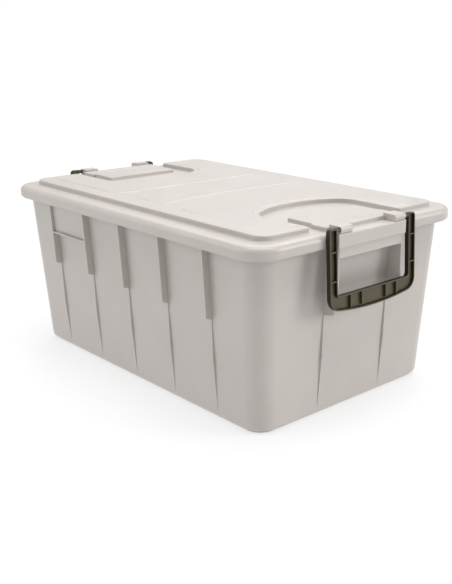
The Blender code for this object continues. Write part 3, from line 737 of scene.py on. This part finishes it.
def lid_skin(bm, outside):
    """One face of the lid. Returns its lowest ring."""
    wall = 0.0 if outside else LID_WALL
    ground = RIM_TOP - wall
    round_rim = RIM_ROLL - wall
    round_cover = max(COVER_ROLL - wall, COVER_LEAST_ROLL)
    first = LID_EDGE if outside else wall - LID_EDGE
    rings = [rim_ring(bm, first, SKIRT_BOTTOM, first, COVER_BOTTOM),
             rim_ring(bm, wall, SKIRT_BOTTOM + LID_EDGE, wall, COVER_BOTTOM + LID_EDGE)]
    for k in range(RIM_STEPS + 1):
        angle = math.radians(90 * k / RIM_STEPS)
        shift = 1 - math.cos(angle)
        drop = 1 - math.sin(angle)
        rings.append(rim_ring(bm, wall + round_rim * shift, ground - round_rim * drop,
                              wall + round_cover * shift, ground - round_cover * drop))
    skin(bm, rings)
    holes = []
    steps = [(deck_outline, DECK_TOP, DECK_FOOT, DECK_CROWN, False),
             (plate_outline, PLATE_TOP, PLATE_FOOT, PLATE_CROWN, False),
             (plate_outline, PLATE_TOP, PLATE_FOOT, PLATE_CROWN, True)]
    for outline, top, foot, crown, turn in steps:
        profile = step_profile(RIM_TOP, top, foot, crown) if outside else under_profile(RIM_TOP, top, foot)
        loops = []
        for inset, height in profile:
            points = outline(inset)
            loops.append(ring(bm, turned(points) if turn else points, height))
        skin(bm, loops)
        flat(bm, loops[-1])
        holes.append(loops[0])
    flat(bm, rings[-1], *holes)
    return rings[0]


def build_lid():
    """The lid's sheet as one closed mesh."""
    bm = bmesh.new()
    outer = lid_skin(bm, True)
    inner = lid_skin(bm, False)
    skin(bm, [outer, inner])
    return piece("lid_shell", bm, WHITE, "lid", "lid")


lid_shell = build_lid()
print("lid:", len(lid_shell.data.polygons), "faces, deck top at", round(DECK_TOP, 4))

# %% [markdown]
# ## Fields and fine lines
#
# The deck carries faint raised fields that stop a stacked crate from sliding and stiffen the sheet, and each
# end plate has a few fine lines. They rise less than a millimetre, so only their rounded edges catch the
# light. Each is a low closed form sunk into the sheet.

# %% Raised fields, the middle strip and the plate's fine lines
FIELD_RISE = 0.0008
FIELD_INNER_EDGE = 0.072
FIELD_OUTER_INSET = 0.013
FIELD_SIDE_INSET = 0.027
FIELD_CORNER = 0.022
FIELD_MARGIN = 0.009
STRIP_HALF_LENGTH = 0.138
STRIP_HALF_WIDTH = 0.033
STRIP_WAIST = 0.009
FIELD_EDGE = 0.0012
LINE_PLACES = (0.009, 0.016, 0.023)
LINE_HALF_WIDTH = 0.0012
LINE_HALF_LENGTH = 0.040
LINE_RISE = 0.0004
LINE_CORNER = LINE_HALF_WIDTH * 0.6
FORM_SUNK = 0.0006              # a low form starts this far inside the sheet, so that no gap shows


def field_outline(inset):
    """The field between the middle of the deck and the recess."""
    inner = FIELD_INNER_EDGE + inset
    outer = RIM_HALF_X - DECK_END_INSET - FIELD_OUTER_INSET - inset
    half_y = RIM_HALF_Y - DECK_SIDE_INSET - FIELD_SIDE_INSET - inset
    corner = FIELD_CORNER - inset
    margin = FIELD_MARGIN + inset
    straight = RIM_HALF_X - DECK_END_INSET - RECESS_STRAIGHT
    half = [(outer, MOUTH_HALF + margin), (outer, half_y)]
    half += arc((inner + corner, half_y - corner), (corner, corner), 90, 180, 8)
    half += mirrored(half)
    return half + arc((straight, 0.0), (RECESS_ARCH + margin, RECESS_HALF + margin), 270, 90, 40)


def strip_outline(inset):
    """The strip across the middle of the deck, narrower at its waist."""
    points = []
    steps = 24
    length = STRIP_HALF_LENGTH - inset
    for side in (1, -1):
        for i in range(steps + 1):
            along = -side * length * (1 - 2 * i / steps)
            across = STRIP_HALF_WIDTH - inset - STRIP_WAIST * math.cos(math.pi / 2 * along / length)
            points.append((side * across, along))
    return points


print(f"the middle strip is {2000 * STRIP_HALF_LENGTH:.0f} mm long")


# %% Low forms
def low_form(bm, outline, ground, rise, foot, crown, turn=False):
    """A closed low form: sunk a little into the ground, with a fillet at its foot."""
    profile = [(-foot, ground - FORM_SUNK)] + roll(-foot, ground + foot, foot, 270, 315, 3)
    profile += roll(crown, ground + rise - crown, crown, 135, 90, 3)
    loops = []
    for inset, height in profile:
        points = outline(inset)
        loops.append(ring(bm, turned(points) if turn else points, height))
    skin(bm, loops)
    flat(bm, loops[0])
    flat(bm, loops[-1])


def line_outline(x):
    """A fine line across a plate, as a function of inset."""
    def outline(inset):
        line = rounded_rectangle(LINE_HALF_WIDTH - inset, LINE_HALF_LENGTH - inset, LINE_CORNER, 3)
        return [(x + along, across) for along, across in line]

    return outline


def build_fields():
    """The two fields, the middle strip and the fine lines of the plates."""
    bm = bmesh.new()
    for end in (False, True):
        low_form(bm, field_outline, DECK_TOP, FIELD_RISE, FIELD_EDGE, FIELD_EDGE, turn=end)
        for place in LINE_PLACES:
            line = line_outline(PLATE_FRONT - place)
            low_form(bm, line, PLATE_TOP, LINE_RISE, LINE_RISE, LINE_RISE, turn=end)
    low_form(bm, strip_outline, DECK_TOP, FIELD_RISE, FIELD_EDGE, FIELD_EDGE)
    return piece("deck_fields", bm, WHITE, "lid", "lid")


build_fields()
print("fields rise", 1000 * FIELD_RISE, "mm")

# %% [markdown]
# ## Knuckles
#
# Two knuckles at each end carry the handle's pegs. A knuckle is a block on the plate's shoulder whose nose
# runs out over the rim and is round about the peg, with a blind bore for it.

# %% Knuckles with blind bores
KNUCKLE_RADIUS = 0.0044
KNUCKLE_INNER = 0.0420
KNUCKLE_OUTER = 0.0643
PEG_RADIUS = 0.0029
PEG_CLEARANCE = 0.0003
BORE_BOTTOM = 0.0560
BORE_RADIUS = PEG_RADIUS + PEG_CLEARANCE
BORE_CHAMFER = 0.0002
KNUCKLE_ROUND = 0.0006
KNUCKLE_SETBACK = 0.002         # the block's back stands behind the plate's front edge,
KNUCKLE_SUNK = 0.001            # its root below the rim's level
KNUCKLE_HEEL = 0.001            # and the front corner of its root beyond the pivot
ROUND_STEP = 15                 # degrees between the points of a turned form


def circle(centre, radius):
    """Points round a full circle."""
    last = 360 - ROUND_STEP
    return arc(centre, (radius, radius), 0, last, last // ROUND_STEP)


def knuckle_outline(inset):
    """Side view of a knuckle round the peg's axis."""
    back = PLATE_FRONT - KNUCKLE_SETBACK + inset
    root = RIM_TOP - KNUCKLE_SUNK
    size = KNUCKLE_RADIUS - inset
    nose = arc((PIVOT_X, PIVOT_Z), (size, size), -50, 90, 14)
    return [(back, root), (PIVOT_X + KNUCKLE_HEEL - inset, root)] + nose + [(back, PIVOT_Z + size)]


def build_knuckle(bm, end, side):
    """One knuckle: a stack of side views with rounded edges, bored from outside."""
    def level(outline, y):
        return [bm.verts.new((end * x, side * y, z)) for x, z in outline]

    soft = KNUCKLE_ROUND
    edge = [(i, KNUCKLE_INNER + soft - d) for i, d in roll(soft, 0.0, soft, 90, 180, 3)]
    edge += [(i, KNUCKLE_OUTER - soft + d) for i, d in roll(soft, 0.0, soft, 180, 90, 3)]
    loops = [level(knuckle_outline(inset), y) for inset, y in edge]
    skin(bm, loops)
    bm.faces.new(loops[0])
    pivot = (PIVOT_X, PIVOT_Z)
    holes = [level(circle(pivot, BORE_RADIUS + BORE_CHAMFER), KNUCKLE_OUTER),
             level(circle(pivot, BORE_RADIUS), KNUCKLE_OUTER - BORE_CHAMFER),
             level(circle(pivot, BORE_RADIUS), BORE_BOTTOM)]
    skin(bm, holes)
    bm.faces.new(holes[-1])
    flat(bm, loops[-1], holes[0])


def build_knuckles():
    """The four knuckles as one piece."""
    bm = bmesh.new()
    for end in (1, -1):
        for side in (1, -1):
            build_knuckle(bm, end, side)
    return piece("knuckles", bm, WHITE, "lid", "lid")


build_knuckles()
print("bore", round(2000 * BORE_RADIUS, 2), "mm for a peg of", 2000 * PEG_RADIUS, "mm")

# %% [markdown]
# ## The handles
#
# Each handle is a U-shaped channel that opens outwards, with thin cross ribs in its arms and bar and a peg
# at the top of each arm. It is drawn as a front view at several insets: the back, the outer wall, the
# rounded flange and the channel's floor are all the same outline. It is made round its own pivot and then
# leant a few degrees, as it hangs.

# %% Sizes of a handle
ARM_INNER = 0.0710
ARM_WIDTH = 0.0140
HANDLE_THICKNESS = 0.0070
HANDLE_DROP = 0.110
ARM_TOP = 0.0030
ARM_SHOULDER = 0.0050
BAR_TOP = 0.085
HANDLE_CORNER = 0.018
INNER_CORNER = 0.005
HANDLE_BOW = 0.0053
FLANGE = 0.0020
CHANNEL_FLOOR = 0.0025
CHANNEL_EDGE = 0.0007
CHANNEL_LEAN = 0.0002
HANDLE_RIB = 0.0016
RIB_EDGE = 0.0003
RIB_BEHIND = 0.0005             # the cross ribs end this far behind the flanges
ARM_RIBS = (0.027, 0.065)       # below the pivot
BAR_RIBS = (0.024, 0.046)       # from the middle of the bar
PEG_LENGTH = 0.0140
PEG_CHAMFER = 0.0007
COLLAR_RISE = 0.0004
COLLAR_LENGTH = 0.0008
COLLAR_SLOPE = 0.0006
REST_GAP = 0.0004
HANDLE_LEAN = math.asin((PULL_FRONT + REST_GAP + HANDLE_THICKNESS / 2 - PIVOT_X) / BAR_TOP)
INNER_TOP_ROUND = 0.0012
END_SLOPE = 80                  # degrees that the bar's lower corners turn before the bow begins
print(f"a handle hangs {math.degrees(HANDLE_LEAN):.1f} degrees out of upright")


# %% The handle's front view
def handle_outline(inset):
    """Front view, pivot at the origin: two arms and a bar with a bowed lower edge."""
    outer = ARM_INNER + ARM_WIDTH - inset
    inner = ARM_INNER + inset
    corner = HANDLE_CORNER - inset
    top = ARM_TOP - inset
    shoulder = ARM_SHOULDER - inset
    small = INNER_TOP_ROUND
    depth = HANDLE_DROP - HANDLE_BOW - inset - corner * math.sin(math.radians(END_SLOPE))
    right = arc((inner + small, top - small), (small, small), 180, 90, 3)
    right += arc((outer - shoulder, top - shoulder), (shoulder, shoulder), 90, 0, 8)
    right += arc((outer - corner, -depth), (corner, corner), 0, -END_SLOPE, 12)
    half_chord, chord_z = right[-1]
    radius = (half_chord ** 2 + HANDLE_BOW ** 2) / (2 * HANDLE_BOW)
    spread = math.degrees(math.asin(half_chord / radius))
    bottom = arc((0.0, chord_z - HANDLE_BOW + radius), (radius, radius), -90 + spread, -90 - spread, 24)
    left = [(-x, z) for x, z in reversed(right)]
    inside = arc((-inner + INNER_CORNER, INNER_CORNER - BAR_TOP - inset), (INNER_CORNER, INNER_CORNER),
                 180, 270, 6)
    inside += [(-x, z) for x, z in reversed(inside)]
    return right[:-1] + bottom + left[1:] + inside


print("the handle's outline has", len(handle_outline(0.0)), "points")


# %% The channel
def handle_shell(bm):
    """The channel as one closed mesh. X is depth, outwards; the outline lies in YZ."""
    half = HANDLE_THICKNESS / 2
    edge = CHANNEL_EDGE
    floor = CHANNEL_FLOOR - half
    profile = [(edge - i, d) for i, d in arc((0.0, edge - half), (edge, edge), 270, 360, 3)]
    profile += [(edge - i, d) for i, d in arc((0.0, half - edge), (edge, edge), 0, 90, 3)]
    lip = FLANGE - edge
    profile += [(lip + i, d) for i, d in arc((0.0, half - edge), (edge, edge), 90, 0, 3)]
    profile += [(FLANGE + CHANNEL_LEAN, floor + edge), (FLANGE + edge, floor)]
    loops = []
    for inset, depth in profile:
        loops.append([bm.verts.new((depth, y, z)) for y, z in handle_outline(inset)])
    skin(bm, loops)
    flat(bm, loops[0])
    flat(bm, loops[-1])


print(f"the channel is {1000 * (HANDLE_THICKNESS - CHANNEL_FLOOR):.1f} mm deep")


# %% Cross ribs
def small_block(bm, low, high, edge):
    """A block with rounded edges, made by bevelling a cube."""
    made = bmesh.ops.create_cube(bm, size=1.0)
    for vert in made["verts"]:
        vert.co = [low[i] + (vert.co[i] + 0.5) * (high[i] - low[i]) for i in range(3)]
    edges = list(dict.fromkeys(e for vert in made["verts"] for e in vert.link_edges))
    bmesh.ops.bevel(bm, geom=edges, offset=edge, segments=2, profile=0.5, affect="EDGES")


def handle_ribs(bm):
    """Thin ribs across the channel, set back a little behind its flanges."""
    half = HANDLE_THICKNESS / 2
    back = CHANNEL_FLOOR / 2 - half
    front = half - RIB_BEHIND
    rib = HANDLE_RIB / 2
    ends = (ARM_INNER + FLANGE / 2, ARM_INNER + ARM_WIDTH - FLANGE / 2)
    for side in (-1, 1):
        inner, outer = sorted(side * end for end in ends)
        for depth in ARM_RIBS:
            small_block(bm, (back, inner, -depth - rib), (front, outer, -depth + rib), RIB_EDGE)
        for across in BAR_RIBS:
            low = (back, side * across - rib, HANDLE_BOW - HANDLE_DROP)
            small_block(bm, low, (front, side * across + rib, -BAR_TOP - FLANGE / 2), RIB_EDGE)


print("cross ribs in a handle:", 2 * len(ARM_RIBS + BAR_RIBS))


# %% Pegs
def handle_pegs(bm):
    """A turned peg at the top of each arm, with a collar where it leaves the arm."""
    collar = PEG_RADIUS + COLLAR_RISE
    collar_end = ARM_INNER - COLLAR_LENGTH
    tip = ARM_INNER - PEG_LENGTH
    stations = [(ARM_INNER + FLANGE / 2, collar), (collar_end, collar),
                (collar_end - COLLAR_SLOPE, PEG_RADIUS), (tip + PEG_CHAMFER, PEG_RADIUS),
                (tip, PEG_RADIUS - PEG_CHAMFER)]
    for side in (-1, 1):
        loops = []
        for y, radius in stations:
            loops.append([bm.verts.new((x, side * y, z)) for x, z in circle((0, 0), radius)])
        skin(bm, loops)
        bm.faces.new(loops[0])
        bm.faces.new(loops[-1])


print(f"a peg stands {1000 * PEG_LENGTH:.0f} mm out of its arm")


# %% Both handles
def build_handle(name, end):
    """One handle, leant on its pivot and turned to its end of the crate."""
    bm = bmesh.new()
    handle_shell(bm)
    handle_ribs(bm)
    handle_pegs(bm)
    place = Matrix.Translation((end * PIVOT_X, 0.0, PIVOT_Z))
    turn = Matrix.Rotation(0.0 if end > 0 else math.pi, 4, "Z")
    bm.transform(place @ turn @ Matrix.Rotation(-HANDLE_LEAN, 4, "Y"))
    return piece(name + "_moulding", bm, DARK, name, name)


for handle_name, handle_end in (("handle_right", 1), ("handle_left", -1)):
    made = build_handle(handle_name, handle_end)
    print(made.name, len(made.data.polygons), "faces")

# %% [markdown]
# ## Floor, light and camera
#
# A light plastic on a white ground keeps its shape only if each of its sides has a tone of its own. So the
# crate stands on a white light table, four soft lights of different strength stand round and over it, and a
# pale sky, a little brighter at the horizon, fills the rest. A sun with a wide disc serves as a softbox,
# because its light is as strong all over the table and its shadows still have soft edges.

# %% The light table
WHITE_LIGHT = linear("#FFFFFF")
TABLE_GLOW = 0.67               # the table's own light, which with the lamps' light makes it just white
TABLE_RADIUS = 30.0             # so wide that its edge is never in view
TABLE_BELOW = 0.0002            # it lies just under the foot, so that the two never share a plane
TABLE_MOTTLE = 0.025            # acrylic is a little uneven over a few centimetres


def light_table():
    """A wide white light table: milky acrylic, lit a little from below."""
    material, tree = new_material("milky_acrylic_light_table")
    place = add(tree, "ShaderNodeTexCoord").outputs["Object"]
    mottle = add(tree, "ShaderNodeTexNoise", inputs={"Scale": 1 / TABLE_MOTTLE, "Detail": 3.0},
                 links={"Vector": place})
    colour = add(tree, "ShaderNodeMix", {"data_type": "RGBA"},
                 {"A": linear("#8C8C8C"), "B": linear("#8F8F8F")}, {"Factor": mottle.outputs["Fac"]})
    shader = add(tree, "ShaderNodeBsdfPrincipled",
                 inputs={"Roughness": 0.9, "Specular IOR Level": 0.1, "Emission Color": WHITE_LIGHT,
                         "Emission Strength": TABLE_GLOW},
                 links={"Base Color": colour.outputs["Result"]})
    add(tree, "ShaderNodeOutputMaterial", links={"Surface": shader.outputs["BSDF"]})
    bm = bmesh.new()
    bmesh.ops.create_circle(bm, cap_ends=True, segments=96, radius=TABLE_RADIUS)
    mesh = bpy.data.meshes.new("floor")
    bm.to_mesh(mesh)
    bm.free()
    mesh.materials.append(material)
    floor = bpy.data.objects.new("floor", mesh)
    floor.location.z = crate_low.z - TABLE_BELOW
    bpy.context.scene.collection.objects.link(floor)


light_table()
print("light table:", 2 * TABLE_RADIUS, "m across")


# %% Sky and soft lights
def studio_sky(overhead, horizon):
    """A dome of light that changes gently from horizon to overhead; the camera sees plain white."""
    world = bpy.data.worlds.new("studio_sky")
    bpy.context.scene.world = world
    world.use_nodes = True
    tree = world.node_tree
    tree.nodes.clear()
    direction = add(tree, "ShaderNodeTexCoord").outputs["Generated"]
    height = add(tree, "ShaderNodeSeparateXYZ", links={"Vector": direction})
    ramp = add(tree, "ShaderNodeMapRange", {"interpolation_type": "SMOOTHSTEP"},
               {"To Min": horizon, "To Max": overhead}, {"Value": height.outputs["Z"]})
    glow = add(tree, "ShaderNodeBackground", inputs={"Color": WHITE_LIGHT},
               links={"Strength": ramp.outputs["Result"]})
    plain = add(tree, "ShaderNodeBackground", inputs={"Color": WHITE_LIGHT, "Strength": 1.0})
    path = add(tree, "ShaderNodeLightPath")
    mix = add(tree, "ShaderNodeMixShader", links={0: path.outputs["Is Camera Ray"],
                                                  1: glow.outputs[0], 2: plain.outputs[0]})
    add(tree, "ShaderNodeOutputWorld", links={"Surface": mix.outputs[0]})


def soft_sun(name, towards, strength, disc):
    """A white sun that stands in the given direction, with a disc so many degrees wide."""
    light = bpy.data.lights.new(name, "SUN")
    light.energy = strength
    light.angle = math.radians(disc)
    item = bpy.data.objects.new(name, light)
    item.rotation_euler = Vector(towards).to_track_quat("Z", "Y").to_euler()
    bpy.context.scene.collection.objects.link(item)


SOFTBOXES = (
    # name, where it stands, strength, width in degrees
    ("right_softbox", (0.68, 0.67, 0.32), 1.20, 24),     # the end wall, and an edge of light on the rim
    ("left_softbox", (-0.60, -0.74, 0.42), 0.76, 40),    # the long wall with the label plate
    ("top_softbox", (0.10, 0.02, 1.0), 2.62, 50),        # the deck
    ("back_softbox", (-0.55, 0.55, 0.62), 0.79, 40),     # the walls that face away from the camera
)

studio_sky(overhead=0.26, horizon=0.36)
for softbox in SOFTBOXES:
    soft_sun(*softbox)
print("soft lights:", [softbox[0] for softbox in SOFTBOXES])

# %% Camera
CAMERA_PLACE = (1.0244, -0.8555, 0.5148)
CAMERA_RIGHT = Vector((0.68278, 0.73062, 0.00304))
CAMERA_FORWARD = Vector((-0.69614, 0.65182, -0.30087))
FOCAL_LENGTH = 53.61            # millimetres, on Blender's usual 36 mm sensor
SHIFT = (-0.0771, 0.0088)       # slides the frame over the crate without turning the camera


def add_camera():
    """The camera, from its place and the directions it looks in."""
    data = bpy.data.cameras.new("camera")
    data.lens = FOCAL_LENGTH
    data.shift_x, data.shift_y = SHIFT
    item = bpy.data.objects.new("camera", data)
    up = CAMERA_RIGHT.cross(CAMERA_FORWARD)
    turn = Matrix((CAMERA_RIGHT, up, -CAMERA_FORWARD)).transposed()
    item.matrix_world = Matrix.Translation(CAMERA_PLACE) @ turn.to_4x4()
    bpy.context.scene.collection.objects.link(item)
    bpy.context.scene.camera = item


add_camera()
bpy.context.scene.view_settings.view_transform = "Standard"
print("camera", round(Vector(CAMERA_PLACE).length, 2), "m from the middle of the crate's underside")
